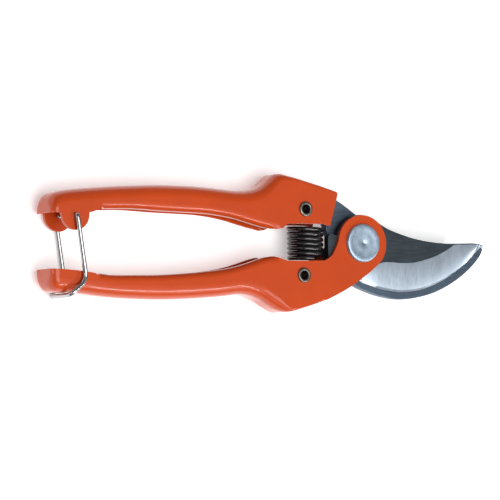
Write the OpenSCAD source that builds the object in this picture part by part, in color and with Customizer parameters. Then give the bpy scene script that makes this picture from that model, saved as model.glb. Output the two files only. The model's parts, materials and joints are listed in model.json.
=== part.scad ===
// Bypass pruning shears: two pressed channel handles, a cutting blade and a hooked counter-blade
// crossing at one pivot bolt, a coil spring between the handles and a wire bail that latches them shut.
// Frame: origin on the pivot axis at the outer face of the nut, X to the blade tip,
// Y toward the upper handle, Z toward the bolt head. Shown closed and latched.

/* [Overall] */
// Which node to draw
// Distance from the pivot axis to the closed toe of both handles
handle_length = 157.3; // [140:0.1:172]
// Distance from the pivot axis to the point of the cutting blade
blade_length = 65.3; // [55:0.1:75]

/* [Handles] */
// Outside width of both handle channels, across the tool
channel_width = 16.3; // [14:0.1:19]
// Sheet thickness of the pressed handles
sheet = 1.6; // [1.2:0.1:2]
// Outside radius of the long rounded back corners of the grips
back_radius = 5.6; // [4:0.1:6.5]
// Outside radius of the curled inner edges of the grips
lip_radius = 3; // [2.4:0.1:3.6]
// Flat part of the curled edge beyond its bend
lip_flat = 0.8; // [0.4:0.1:1.2]
// How far the lower handle's toe reaches past the upper one's
toe_lead = 0.9; // [0:0.1:1.5]
// Radius of the round ears that carry the bail
ear_radius = 6.9; // [5.5:0.1:7.5]

/* [Pivot] */
// Radius of the round end of the lower handle at the pivot
ring_radius = 12.4; // [11:0.1:13]
// Radius of the round hubs of both blades
hub_radius = 12.6; // [11:0.1:13]
// Diameter of the pivot bolt's shank
bolt_diameter = 8; // [6:0.5:10]
// Diameter of the pivot bolt's flat head
head_diameter = 17; // [14:0.5:20]
// Height of the pivot bolt's flat head
head_height = 1.4; // [1:0.1:2.5]
// Width across the flats of the pivot nut
nut_flats = 13; // [11:0.5:15]
// Height of the pivot nut
nut_height = 6.6; // [5:0.1:8]
// Outside diameter of the lock washer
washer_diameter = 15; // [13:0.5:18]
// Thickness of the lock washer
washer_thickness = 0.8; // [0.5:0.1:1.5]
// Radial running clearance of the counter-blade on the bolt
pivot_clearance = 0.05; // [0.02:0.01:0.1]
// Gap on each face of the swinging counter-blade
face_gap = 0.1; // [0.05:0.01:0.2]

/* [Blades] */
// Thickness of the cutting blade
blade_thickness = 3.2; // [2.5:0.1:4]
// Thickness left at the cutting edge
edge_thickness = 0.35; // [0.2:0.05:0.6]
// Thickness of the hooked counter-blade
hook_thickness = 4; // [3:0.1:4.6]

/* [Rivets] */
// Barrel diameter of the tubular rivets
rivet_barrel = 5; // [4.4:0.1:5.6]
// Diameter of the flared rivet ends
rivet_flare = 6.6; // [5.8:0.1:7.5]
// Diameter of the hole through the rivets
rivet_hole = 3.6; // [3:0.1:4]
// Height of the flared ends above the sheet
rivet_stand = 0.9; // [0.5:0.1:1.4]

/* [Spring] */
// Wire diameter of the coil spring
spring_wire = 2; // [1.6:0.1:2.2]
// Full turns of the coil spring between the handles
spring_turns = 6.5; // [5.5:0.5:7]

/* [Bail] */
// Wire diameter of the bail
bail_wire = 2.1; // [1.8:0.1:2.4]
// Gap between each bail leg and the handle sheet
bail_gap = 0.3; // [0.3:0.1:0.8]
// Radial running clearance of the bail's pins in the ears
ear_clearance = 0.05; // [0.02:0.01:0.1]
// Inside bend radius at the corners of the bail's crossbar
bail_bend = 2; // [1.5:0.1:3]
// Inside bend radius half way down each leg of the bail
leg_bend = 5; // [3:0.5:8]

/* [Hidden] */
$fn = 48;
orange = [0.86, 0.33, 0.14];
steel = [0.28, 0.34, 0.38];
zinc = [0.70, 0.76, 0.82];
dark = [0.10, 0.10, 0.11];

// levels of the stack at the pivot, from the nut up
z_washer = nut_height;
z_far = z_washer + washer_thickness;              // outer face of the far ring
z_hook = z_far + sheet + face_gap;                // underside of the counter-blade
z_blade = z_hook + hook_thickness + face_gap;     // underside of the cutting blade
z_ring = z_blade + blade_thickness;               // underside of the near ring
z_top = z_ring + sheet;                           // outer face of the near walls
z_mid = z_top - channel_width/2;                  // middle of both channels
z_back = z_top - channel_width;                   // outer face of the far walls
half = channel_width/2;

drawn_handle = 157.3;   // handle length that the outlines below are drawn for
drawn_blade = 65.3;     // blade length that the outlines below are drawn for
function gx(x) = x > -45 ? x : -45 + (x + 45)*(handle_length - 45)/(drawn_handle - 45);
function bx(x) = x < 12 ? x : 12 + (x - 12)*(blade_length - 12)/(drawn_blade - 12);

rivet_u = [-29.2, 15];        // axis of the upper rivet
rivet_l = [-31, -14];         // axis of the lower rivet
ear = [gx(-146), 12.3];       // axis of the bail's pins
lobe = [gx(-146.1), 12.55];   // middle of the round ears
spring_x = -24.8;             // axis of the coil spring
seat_u = 8.4;                 // wall edge that the spring's upper turn bears on
seat_l = -7.6;                // wall edge that the spring's lower turn bears on
spring_r = half - spring_wire/2;

// smooth curve through [x, y] stations
function seg(t, x, i = 0) = i >= len(t) - 2 || x < t[i + 1][0] ? i : seg(t, x, i + 1);
function slope(t, i) = i <= 0 ? (t[1][1] - t[0][1])/(t[1][0] - t[0][0])
    : i >= len(t) - 1 ? (t[i][1] - t[i - 1][1])/(t[i][0] - t[i - 1][0])
    : (t[i + 1][1] - t[i - 1][1])/(t[i + 1][0] - t[i - 1][0]);
function curve(t, x) = let (i = seg(t, x), w = t[i + 1][0] - t[i][0], u = (x - t[i][0])/w,
    a = t[i][1], b = t[i + 1][1], m = slope(t, i)*w, n = slope(t, i + 1)*w)
    a*(2*u*u*u - 3*u*u + 1) + m*(u*u*u - 2*u*u + u) + b*(3*u*u - 2*u*u*u) + n*(u*u*u - u*u);
function ease(a, b, x) = let (u = max(0, min(1, (x - a)/(b - a)))) u*u*(3 - 2*u);

// outlines of the handles: distance of the back and of the inner edge from the centre line
upper_back = [[-157.3, 17.2], [-156.8, 19], [-155.6, 20.8], [-153.8, 22], [-150.5, 22.9], [-145, 23.6], [-131, 24.6],
    [-116, 25.3], [-101, 25.6], [-86, 25.2], [-76, 24.5], [-68, 23.7], [-61, 23.2], [-55, 23.6], [-50, 25.1], [-47, 27],
    [-44.6, 29], [-42.4, 30.4], [-40, 30.6], [-36.7, 29.6], [-31.5, 28.3], [-21.4, 25.6], [-11.9, 23.1]];
upper_edge = [[-157.3, 13.2], [-141, 13.3], [-138, 13.6], [-134, 15.2], [-116, 14.9], [-101, 14], [-88, 13.4], [-79, 12.9],
    [-70, 11.8], [-63, 10.4], [-57, 8.8], [-51, 7.3], [-46, 6.4], [-43, 6.3], [-41, 6.8], [-38.5, seat_u], [-20, seat_u], [-15, 7.8], [-11.9, 7.6]];
lower_back = [[-157.3, 17], [-156.8, 18.4], [-155.8, 19.8], [-154.3, 20.7], [-151, 21.1], [-146, 21.4], [-141, 21.7], [-133.6, 22.6],
    [-123.6, 23.5], [-113.6, 24], [-103.5, 24.3], [-93, 24.2], [-83, 23.8], [-73, 23.2], [-67.5, 22.7], [-62, 22.2], [-56.5, 22.8],
    [-51.2, 24.6], [-46.3, 27.5], [-43, 29.1], [-40, 30], [-37.4, 29.9], [-33.5, 28.9], [-28, 27.5], [-20, 25.1]];
lower_edge = [[-157.3, 10.8], [-149, 11.4], [-143, 12], [-137, 12.7], [-128, 13.4], [-115, 13.6], [-103, 13.5], [-88, 12.7],
    [-78, 11.9], [-70, 11], [-64, 9.9], [-58.5, 8.5], [-53, 6.9], [-49, 5.9], [-45.5, 5.7], [-42.5, 6.6], [-39, -seat_l], [-20, -seat_l]];

// one C-shaped section: h is measured from the back toward the open side
function half_out(H, w, R, r, f) = concat(
    [for (k = [0:3]) let (a = 90*k/3) [w - R + R*sin(a), R - R*cos(a)]],
    [for (k = [0:3]) let (a = 90*k/3, c = [w - r + r*cos(a), H - r + r*sin(a)], p = [w, H - r + r*k/4]) f*c + (1 - f)*p],
    [let (c = [w - r - lip_flat, H], p = [w, H]) f*c + (1 - f)*p]);
function half_in(H, w, R, r, f) = concat(
    [for (k = [0:3]) let (a = 90*k/3) [w - R + (R - sheet)*sin(a), R - (R - sheet)*cos(a)]],
    [for (k = [0:3]) let (a = 90*k/3, c = [w - r + (r - sheet)*cos(a), H - r + (r - sheet)*sin(a)], p = [w - sheet, H - r + r*k/4]) f*c + (1 - f)*p],
    [let (c = [w - r - lip_flat, H - sheet], p = [w - sheet, H]) f*c + (1 - f)*p]);
function flip(p) = [for (q = p) [-q[0], q[1]]];
function back_to(p) = [for (i = [len(p) - 1:-1:0]) p[i]];
function ring_of(H, w, R, r, f) = let (o = half_out(H, w, R, r, f), i = half_in(H, w, R, r, f))
    concat(o, back_to(i), flip(i), back_to(flip(o)));

// joins sections into one closed solid
module loft(s) {
    n = len(s[0]);
    pts = [for (r = s) for (p = r) p];
    polyhedron(pts, concat(
        [[for (j = [n - 1:-1:0]) j]],
        [for (i = [0:len(s) - 2]) for (j = [0:n - 1]) let (a = i*n + j, b = i*n + (j + 1) % n) [a, b, b + n]],
        [for (i = [0:len(s) - 2]) for (j = [0:n - 1]) let (a = i*n + j, b = i*n + (j + 1) % n) [a, b + n, a + n]],
        [[for (j = [0:n - 1]) (len(s) - 1)*n + j]]), convexity = 8);
}

// joins C-shaped sections into one closed solid; m points run from the middle of the back to each lip
module shell(s) {
    n = len(s[0]);
    m = n/4;
    q = concat([for (k = [0:m - 2]) [k, k + 1, 2*m - 2 - k, 2*m - 1 - k]],
        [for (k = [0:m - 2]) [4*m - 2 - k, 4*m - 1 - k, 2*m + k, 2*m + k + 1]],
        [[4*m - 1, 0, 2*m - 1, 2*m]]);
    pts = [for (r = s) for (p = r) p];
    e = (len(s) - 1)*n;
    polyhedron(pts, concat(
        [for (f = q) [f[2], f[1], f[0]]], [for (f = q) [f[3], f[2], f[0]]],
        [for (i = [0:len(s) - 2]) for (j = [0:n - 1]) let (a = i*n + j, b = i*n + (j + 1) % n) [a, b, b + n]],
        [for (i = [0:len(s) - 2]) for (j = [0:n - 1]) let (a = i*n + j, b = i*n + (j + 1) % n) [a, b + n, a + n]],
        [for (f = q) [f[0] + e, f[1] + e, f[2] + e]], [for (f = q) [f[0] + e, f[2] + e, f[3] + e]]), convexity = 8);
}

// the channel of one handle: side is 1 for the upper handle, -1 for the lower one
module channel(back, edge, side, xs, notch, skew, front_r, lead) {
    s = [for (x = xs) let (yb = curve(back, x), ye = curve(edge, x), H = yb - ye,
            toe = max(0, -154.9 - x), w = half - 0.28*toe*toe,
            R = max(sheet + 0.2, min(back_radius + (front_r - back_radius)*ease(-44, -20, x), H - lip_radius - 0.3)),
            f = ease(notch, notch + 1.6, x)*(1 - ease(-49, -41, x)), r = min(lip_radius, (H - R)*0.8),
            sk = x > -13 ? skew : 0)
        [for (p = ring_of(H, w, R, r, f)) [gx(x) - lead*ease(-150, -157.3, x) + sk*(p[1] - H*0.1), side*(yb - p[1]), z_mid + p[0]]]];
    shell(side > 0 ? back_s(s) : s);
}
function back_s(s) = [for (i = [len(s) - 1:-1:0]) s[i]];

stations = [-157.3, -156.6, -155.6, -153.8, -150.5, -146, -141, -137, -136.2, -135.4, -131, -122,
    -112, -101, -90, -80, -71, -64, -58.5, -54, -50.5, -48, -45.7, -43.6, -41.5, -39, -33, -26, -20];

module wall_pair(h) { for (z = [z_top - h, z_back]) translate([0, 0, z]) linear_extrude(h) children(); }

module upper_handle() color(orange) difference() {
    union() {
        channel(upper_back, upper_edge, 1, concat(stations, [-16, -11.9]), -136, -0.31, 1.9, 0);
        // end wall of the toe
        end_wall(upper_back, 1, 13.4, 0);
        // round ears for the bail
        for (z = [z_top - sheet, z_back]) translate([lobe[0], lobe[1], z]) cylinder(r = ear_radius, h = sheet);
    }
    for (z = [z_top - sheet - 1, z_back - 1]) translate([ear[0], ear[1], z]) cylinder(d = bail_wire + 2*ear_clearance, h = sheet + 2);
    translate([rivet_u[0], rivet_u[1], z_back - 1]) cylinder(d = rivet_barrel, h = channel_width + 2);
}

// closes the toe between the walls
module end_wall(back, side, y_in, lead) {
    yb = curve(back, -drawn_handle);
    translate([-handle_length - lead, 0, 0]) rotate([90, 0, 90]) linear_extrude(sheet)
        polygon([for (p = concat(toe_half(yb, y_in, 1), back_to(toe_half(yb, y_in, -1)))) [side*p[0], z_mid + p[1]]]);
}
function toe_half(yb, y_in, s) = let (w = half - 0.28*2.4*2.4, R = max(sheet + 0.2, min(back_radius, yb - y_in - lip_radius - 0.3)))
    concat([[y_in, s*w], [yb - R, s*w]], [for (a = [18:18:72]) [yb - R + R*sin(a), s*(w - R + R*cos(a))]], [[yb, s*(w - R)]]);

module lower_handle() color(orange) difference() {
    union() {
        channel(lower_back, lower_edge, -1, stations, -137, 0, 1.9, toe_lead);
        end_wall(lower_back, -1, 11, toe_lead);
        // near wall carried forward to the ring over the cutting blade
        translate([0, 0, z_ring]) linear_extrude(sheet) polygon([[-27, seat_l], [-20.4, seat_l], [-18.8, -7.2], [-17.2, -6.2],
            [-15.6, -4.8], [-14.4, -2.9], [-13.3, -0.9], [-12.3, 2], [0, 0], [ring_radius*cos(22), -ring_radius*sin(22)], [9.9, -7.6], [7.2, -9.9],
            [3.4, -12.8], [-1.9, -16.2], [-7.3, -19.4], [-12.6, -22], [-17.9, -24.3], [-20.01, -25.1], [-20.01, -20.5], [-27, -20.5]]);
        translate([0, 0, z_ring]) cylinder(r = ring_radius, h = sheet);
        // far wall stepped in to clamp the stack, with its own ring
        translate([0, 0, z_far]) cylinder(r = ring_radius, h = sheet);
        translate([0, 0, z_far]) linear_extrude(sheet) polygon([[-13.5, -3.8], [-12.3, 2], [0, 0], [ring_radius*cos(22), -ring_radius*sin(22)],
            [9.9, -7.6], [7.2, -9.9], [3.4, -12.8], [-1.9, -16.2], [-7.3, -19.4], [-13.5, -21.8]]);
        translate([0, seat_l - 0.4, 0]) rotate([90, 0, 0]) linear_extrude(14) polygon([[-23, z_back], [-20, z_back], [-13.5, z_far], [-12, z_far],
            [-12, z_far + sheet], [-14.3, z_far + sheet], [-20.8, z_back + sheet], [-23, z_back + sheet]]);
    }
    translate([0, 0, z_far - 1]) cylinder(d = bolt_diameter, h = channel_width);
    translate([rivet_l[0], rivet_l[1], z_back - 1]) cylinder(d = rivet_barrel, h = channel_width + 2);
}

// cutting blade: [x, spine, start of the bevel, cutting edge]
blade_sections = [[0, 11.8, -9, -16.7], [4, 11.4, -9.2, -18], [8.4, 9.7, -9.2, -19.3], [11.8, 7.8, -8.4, -20.1], [15, 6.2, -8.3, -20.7],
    [21, 4.1, -8.7, -21.4], [27, 2.4, -8.6, -21.2], [33, 1.2, -7.5, -20.3], [39, 0.4, -5.8, -18.6], [44, 0, -3.7, -16.6], [47, -0.1, -2.1, -15.2],
    [49.5, -0.1, -0.7, -13.8], [55, 0, -0.5, -10.2], [58.5, 0.1, -0.4, -7.3], [61.5, -0.1, -0.5, -4.6], [63.8, -0.6, -0.9, -2.6], [65.3, -1.4, -1.5, -1.7]];
module cutting_blade() color(steel) difference() {
    union() {
        translate([0, 0, z_blade]) cylinder(r = hub_radius, h = blade_thickness);
        translate([0, 0, z_blade]) linear_extrude(blade_thickness) polygon([[0, 6], [-12, 3.6], [-15.4, 4.4], [-17, 3.2], [-17, -7],
            [-19, -9.7], [-25, -10.8], [-32, -10.6], [-37, -13], [-36.5, -19], [-30, -21.5], [-20, -20.6], [-10, -18.7], [0, -16.7], [4, -9]]);
        loft([for (b = blade_sections) let (x = bx(b[0])) [[x, b[1], z_blade], [x, b[3], z_blade], [x, b[3], z_blade + edge_thickness],
            [x, b[2], z_ring], [x, b[1], z_ring]]]);
    }
    translate([0, 0, z_blade - 1]) cylinder(d = bolt_diameter, h = blade_thickness + 2);
    translate([rivet_l[0], rivet_l[1], z_blade - 1]) cylinder(d = rivet_barrel, h = blade_thickness + 2);
}

module counter_blade() color(steel) translate([0, 0, z_hook]) difference() {
    union() {
        cylinder(r = hub_radius, h = hook_thickness);
        // tang inside the upper handle
        linear_extrude(hook_thickness) polygon([[4, 11.9], [-0.75, 13.4], [-5.5, 16.6], [-10, 19.3], [-16, 22], [-28, 24.6], [-36, 24.4], [-38, 19], [-35, 12.4],
            [-30, 10.9], [-22, 10.9], [-19.5, 9.2], [-16.1, 8.5], [-15.8, 6.4], [-14.9, 4], [-13.4, 2.1], [-12.3, 0.4], [0, 0]]);
        // hooked jaw
        linear_extrude(hook_thickness) polygon([for (p = [[-8.9, -8.9], [-5, -15.8], [-0.6, -18.6], [3.6, -20.4], [8.8, -22.2], [13.5, -23.4], [18.5, -24.3], [23, -24.6], [27.3, -24.4],
            [32.6, -23.6], [38, -22.4], [43.3, -20.6], [48.8, -18.1], [54.2, -15], [59.7, -11], [64.1, -6.8], [66.1, -4.1], [66.7, -2.5], [66.2, -1.4], [64.8, -1.1],
            [61.5, -2], [56.5, -5.6], [49, -10.7], [44, -13.2], [39.2, -15], [34, -16.3], [29.5, -17], [25, -17.2], [21, -16.9], [17.5, -15.7], [14.5, -13.4], [12.6, -10.6],
            [11.4, -5], [0, 0]]) [bx(p[0]), p[1]]]);
    }
    translate([0, 0, -1]) cylinder(d = bolt_diameter + 2*pivot_clearance, h = hook_thickness + 2);
    translate([rivet_u[0], rivet_u[1], -1]) cylinder(d = rivet_barrel, h = hook_thickness + 2);
}

module pivot_bolt() color(zinc) difference() {
    union() {
        cylinder(d = bolt_diameter, h = z_top);
        translate([0, 0, z_top]) cylinder(d1 = head_diameter, d2 = head_diameter - 0.8, h = head_height);
    }
    // centre dimple
    translate([0, 0, z_top + head_height - 0.5]) cylinder(d1 = 0.4, d2 = 1.8, h = 0.6);
}

module pivot_nut() color(zinc) difference() {
    cylinder(r = nut_flats/2/cos(30), h = nut_height, $fn = 6);
    translate([0, 0, -1]) cylinder(d = bolt_diameter, h = nut_height + 2);
}

module lock_washer() color(zinc) translate([0, 0, z_washer]) difference() {
    cylinder(d = washer_diameter, h = washer_thickness);
    translate([0, 0, -1]) cylinder(d = bolt_diameter, h = washer_thickness + 2);
}

module rivet() color(steel) difference() {
    union() {
        translate([0, 0, z_back - rivet_stand]) cylinder(d = rivet_flare, h = rivet_stand);
        translate([0, 0, z_back]) cylinder(d = rivet_barrel, h = channel_width);
        translate([0, 0, z_top]) cylinder(d = rivet_flare, h = rivet_stand);
    }
    translate([0, 0, z_back - rivet_stand - 1]) cylinder(d = rivet_hole, h = channel_width + 2*rivet_stand + 2);
}
module upper_rivet() translate([rivet_u[0], rivet_u[1], 0]) rivet();
module lower_rivet() translate([rivet_l[0], rivet_l[1], 0]) rivet();

// coil spring: full turns between the wall edges
spring_a = seat_l + spring_wire/2 + 0.05;
spring_b = seat_u - spring_wire/2 - 0.05;
function coil_p(u) = let (a = 360*spring_turns*u + 90) [spring_x + spring_r*cos(a), spring_a + (spring_b - spring_a)*u, z_mid + spring_r*sin(a)];
module coil_spring() color(dark) {
    n = round(spring_turns*16);
    loft([for (i = [0:n]) let (p = coil_p(i/n), a = 360*spring_turns*i/n + 90)
        [for (k = [0:7]) let (b = -45*k) [p[0] + spring_wire/2*cos(b)*cos(a), p[1] + spring_wire/2*sin(b), p[2] + spring_wire/2*cos(b)*sin(a)]]]);
}

// bail: half of it, then mirrored across the middle of the channel
bail_z = half + bail_gap + bail_wire/2;
leg = [3.6, -28.1];
low = [-4.2, -34.65];
leg_a = atan2(leg[1], leg[0]);
foot_a = atan2(low[1] - leg[1], low[0] - leg[0]);
turn = leg_a - foot_a;
bend_r = bail_bend + bail_wire/2;
leg_r = leg_bend + bail_wire/2;
cut = leg_r*tan(turn/2);
pin_bend = bail_gap + bail_wire/2 - 0.15;   // the pin's own bend is sharp, close outside the ear
// path of the bent wire: [centre, direction in the plane of the handles, angle out of that plane]
function dir(a) = [cos(a), sin(a), 0];
function near_half() = concat(
    [for (k = [0:4]) let (q = 90*k/4) [pin_bend*(1 - cos(q))*dir(leg_a) + [0, 0, bail_z - pin_bend + pin_bend*sin(q)], leg_a, 90 - q]],
    [for (k = [0:4]) let (q = turn*k/4) [(norm(leg) - cut)*dir(leg_a) + leg_r*dir(leg_a - 90) + leg_r*dir(leg_a + 90 - q) + [0, 0, bail_z], leg_a - q, 0]],
    [for (k = [0:4]) let (q = 90*k/4) [[low[0], low[1], 0] - bend_r*(1 - sin(q))*dir(foot_a) + [0, 0, bail_z - bend_r*(1 - cos(q))], foot_a, -q]]);
function far_half() = [for (p = back_to(near_half())) [[p[0][0], p[0][1], -p[0][2]], p[1], -180 - p[2]]];
function wire_ring(p, r) = let (d = dir(p[1]), t = cos(p[2])*d + sin(p[2])*[0, 0, 1], n = [d[1], -d[0], 0], m = cross(n, t))
    [for (k = [0:9]) let (b = 36*k) p[0] + r*(cos(b)*m + sin(b)*n)];
module latch_bail() color(zinc) translate([ear[0], ear[1], z_mid]) {
    w = concat(near_half(), far_half());
    loft([for (i = [len(w) - 1:-1:0]) wire_ring(w[i], bail_wire/2*(i == 0 || i == len(w) - 1 ? 0.97 : 1))]);
    // pins through the ears
    for (m = [0, 1]) mirror([0, 0, m]) translate([0, 0, half - sheet - 1.6]) cylinder(d = bail_wire, h = sheet + 1.6 + 0.15);
}

lower_handle();
upper_handle();
cutting_blade();
counter_blade();
pivot_bolt();
pivot_nut();
lock_washer();
upper_rivet();
lower_rivet();
coil_spring();
latch_bail();
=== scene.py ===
"""Bypass pruning shears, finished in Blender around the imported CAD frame.

The handles, blades, spring, wire bail and fasteners are modelled again as smooth painted,
ground and plated pieces that stand for the plain CAD nodes of the same names."""

import json
import math

import bmesh
import bpy
from mathutils import Matrix, Vector


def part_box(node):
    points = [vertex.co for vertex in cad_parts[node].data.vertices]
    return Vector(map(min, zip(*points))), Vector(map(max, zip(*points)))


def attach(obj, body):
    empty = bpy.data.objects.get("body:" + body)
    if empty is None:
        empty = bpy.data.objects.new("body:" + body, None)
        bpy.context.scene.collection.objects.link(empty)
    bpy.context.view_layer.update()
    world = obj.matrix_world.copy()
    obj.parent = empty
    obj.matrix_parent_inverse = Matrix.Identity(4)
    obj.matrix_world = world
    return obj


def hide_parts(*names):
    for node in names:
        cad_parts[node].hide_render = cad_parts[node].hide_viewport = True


bl_info = {
    "name": "Bypass Pruning Shears",
    "version": (1, 0, 0),
    "blender": (4, 5, 0),
    "location": "View3D > Sidebar > Shears",
    "description": "Builds the finished pieces of a pair of bypass pruning shears around their frame",
    "category": "Object",
}

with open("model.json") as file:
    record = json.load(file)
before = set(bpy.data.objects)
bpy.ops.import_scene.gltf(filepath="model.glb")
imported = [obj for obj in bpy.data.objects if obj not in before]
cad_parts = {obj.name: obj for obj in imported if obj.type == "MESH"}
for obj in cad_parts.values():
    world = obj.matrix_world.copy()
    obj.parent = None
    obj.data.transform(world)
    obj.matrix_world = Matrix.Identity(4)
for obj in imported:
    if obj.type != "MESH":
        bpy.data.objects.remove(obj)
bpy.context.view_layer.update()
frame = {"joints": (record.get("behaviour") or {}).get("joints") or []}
MM = 0.001

# ---------------------------------------------------------------- places taken from the frame

HANDLE_LOW, HANDLE_HIGH = (Vector(c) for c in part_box("lower_handle"))
GRIP_LOW = Vector(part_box("upper_handle")[0])
BLADE_LOW, BLADE_HIGH = (Vector(c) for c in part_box("cutting_blade"))
HOOK_LOW, HOOK_HIGH = (Vector(c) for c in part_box("counter_blade"))
SPRING_LOW, SPRING_HIGH = (Vector(c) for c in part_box("coil_spring"))
BAIL_LOW, BAIL_HIGH = (Vector(c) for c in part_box("latch_bail"))
WASHER_LOW, WASHER_HIGH = (Vector(c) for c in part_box("lock_washer"))

WALL_TOP = HANDLE_HIGH.z / MM          # outer face of the near walls
WALL_BACK = HANDLE_LOW.z / MM          # outer face of the far walls
MID = (WALL_TOP + WALL_BACK) / 2       # middle of both channels
HALF = (WALL_TOP - WALL_BACK) / 2
FAR_RING = WASHER_HIGH.z / MM          # outer face of the far ring at the pivot
TOE = GRIP_LOW.x / MM                  # closed end of the upper handle
TOE_LEAD = TOE - HANDLE_LOW.x / MM     # how far the lower one reaches past it
TIP = BLADE_HIGH.x / MM
HINGE = {j["name"]: j for j in frame["joints"]}
EAR = Vector(HINGE["bail_swing"]["pos_m"]) / MM
LOBE = EAR.xy + Vector((-0.1, 0.25))   # middle of the round ears


def centre_of(node):
    low, high = (Vector(c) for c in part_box(node))
    return (low + high) / 2 / MM


BARREL_R = 2.5          # outside radius of the rivets' barrels
BOLT_R = 4.0            # radius of the bolt's shank
PIN_CLEARANCE = 0.05    # round the bail's pins in the ears
CUT_LOW, CUT_HIGH = -2, 22  # reach of the cutters that bore right through the tool
RIVETS = {name: centre_of(name) for name in ("upper_rivet", "lower_rivet")}

# ---------------------------------------------------------------- outlines, in millimetres
# Each list is [x, distance from the centre line] at the places where the outline changes.

UPPER_BACK = [(-157.3, 17.4), (-156.8, 19.1), (-155.6, 20.8), (-153.8, 22), (-150.5, 22.9),
              (-145, 23.6), (-131, 24.6), (-116, 25.3), (-101, 25.6), (-86, 25.2), (-76, 24.5),
              (-68, 23.7), (-61, 23.2), (-55, 23.6), (-50, 25.1), (-47, 27), (-44.6, 29),
              (-42.4, 30.4), (-40, 30.6), (-36.7, 29.6), (-31.5, 28.3), (-21.4, 25.6),
              (-11.9, 23.1)]
UPPER_EDGE = [(-157.3, 13.2), (-141, 13.3), (-138, 13.4), (-135.5, 14.2), (-132.6, 15.3),
              (-130.8, 14.9), (-116, 14.9), (-101, 14), (-88, 13.4), (-79, 12.9), (-70, 11.8),
              (-63, 10.4), (-57, 8.8), (-51, 7.3), (-46, 6.4), (-43, 6.3), (-41, 6.8), (-38.5, 8.4),
              (-20, 8.4), (-15, 7.8), (-11.9, 7.6)]
LOWER_BACK = [(-157.3, 17), (-156.8, 18.4), (-155.8, 19.8), (-154.3, 20.7), (-151, 21.1),
              (-146, 21.4), (-141, 21.7), (-133.6, 22.6), (-123.6, 23.5), (-113.6, 24),
              (-103.5, 24.3), (-93, 24.2), (-83, 23.8), (-73, 23.2), (-67.5, 22.7), (-62, 22.2),
              (-56.5, 22.8), (-51.2, 24.6), (-46.3, 27.5), (-43, 29.1), (-40, 30), (-37.4, 29.9),
              (-33.5, 28.9), (-28, 27.5), (-20, 25.1)]
LOWER_EDGE = [(-157.3, 10.8), (-149, 11.4), (-143, 12), (-137, 12.9), (-135.6, 13.6),
              (-133.8, 12.9), (-128, 13.5), (-115, 13.6), (-103, 13.5), (-88, 12.7), (-78, 11.9),
              (-70, 11), (-64, 9.9), (-58.5, 8.5), (-53, 6.9), (-49, 5.9), (-45.5, 5.7),
              (-42.5, 6.6), (-39, 7.6), (-20, 7.6)]
# the near wall in front of the channel, from the spring's seat round to the ring
POCKET = [(-20, -7.6), (-18.8, -7.2), (-17.2, -6.2), (-15.6, -4.8), (-14.4, -2.9), (-13.3, -0.9),
          (-12.6, 0.8), (-12.3, 1.6)]
APRON = [(-20, -25.1), (-17.9, -24.3), (-12.6, -22), (-7.3, -19.4), (-1.9, -16.2), (3.4, -12.8),
         (7.2, -9.9), (9.9, -7.5), (11.5, -4.7), (12.2, -2.2), (12.4, -0.3)]
RING = 12.4

# cutting blade: [x, spine, start of the ground bevel, cutting edge]
BLADE = [(0, 11.8, -9, -16.7), (4, 11.4, -9.2, -18), (8.4, 9.7, -9.2, -19.3),
         (11.8, 7.8, -8.4, -20.1), (15, 6.2, -8.3, -20.7), (21, 4.1, -8.7, -21.4),
         (27, 2.4, -8.6, -21.2), (33, 1.2, -7.5, -20.3), (39, 0.4, -5.8, -18.6),
         (44, 0, -3.7, -16.6), (47, -0.1, -2.1, -15.2), (49.5, -0.1, -0.7, -13.8),
         (55, 0, -0.5, -10.2), (58.5, 0.1, -0.4, -7.3), (61.5, -0.1, -0.5, -4.6),
         (63.8, -0.6, -0.9, -2.6), (65.3, -1.4, -1.5, -1.7)]
DRAWN_TOE = -157.3      # toe and blade point that the outlines are drawn for
DRAWN_TIP = 65.3
HUB = 12.6
GRIP_ROOT = -45         # the handles lengthen behind this place, the blades in front of the next
BLADE_ROOT = 12
CHANNEL_END = -20       # where the channels open into flat front walls
SHOULDER = (-46, -34)   # the back's corner changes to the sharper one of the front
CURL_END = (-50, -42)   # the curled inner edge runs out
LEAD_START = -150       # the lower toe begins to reach past the upper one


def stretch(x):
    """Moves a grip station with the real length of the handles."""
    if x > GRIP_ROOT:
        return x
    return GRIP_ROOT + (x - GRIP_ROOT) * (TOE - GRIP_ROOT) / (DRAWN_TOE - GRIP_ROOT)


def follow(stations, x, column=1):
    """Smooth curve through the stations, the same as the one the CAD outlines use."""
    last = len(stations) - 2
    i = next((k for k in range(last) if x < stations[k + 1][0]), last)

    def rise(k):
        a, b = max(k - 1, 0), min(k + 1, last + 1)
        return (stations[b][column] - stations[a][column]) / (stations[b][0] - stations[a][0])

    x0, x1 = stations[i][0], stations[i + 1][0]
    y0, y1 = stations[i][column], stations[i + 1][column]
    w = x1 - x0
    u = (x - x0) / w
    return (y0 * (2 * u**3 - 3 * u**2 + 1) + rise(i) * w * (u**3 - 2 * u**2 + u)
            + y1 * (3 * u**2 - 2 * u**3) + rise(i + 1) * w * (u**3 - u**2))


def ease(a, b, x):
    u = max(0.0, min(1.0, (x - a) / (b - a)))
    return u * u * (3 - 2 * u)


def steps(a, b, count):
    return [a + (b - a) * k / count for k in range(count + 1)]


# ---------------------------------------------------------------- mesh helpers


def extend(bm, row, places, closed=False):
    """Extrudes a row of edges and puts the new row of points at the places given."""
    pairs = list(zip(row, row[1:])) + ([(row[-1], row[0])] if closed else [])
    out = bmesh.ops.extrude_edge_only(bm, edges=[bm.edges.get(pair) for pair in pairs])
    fresh = {g for g in out["geom"] if isinstance(g, bmesh.types.BMVert)}
    new_row = [next(e.other_vert(v) for e in v.link_edges if e.other_vert(v) in fresh) for v in row]
    for v, place in zip(new_row, places):
        v.co = Vector(place) * MM
    return new_row


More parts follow.
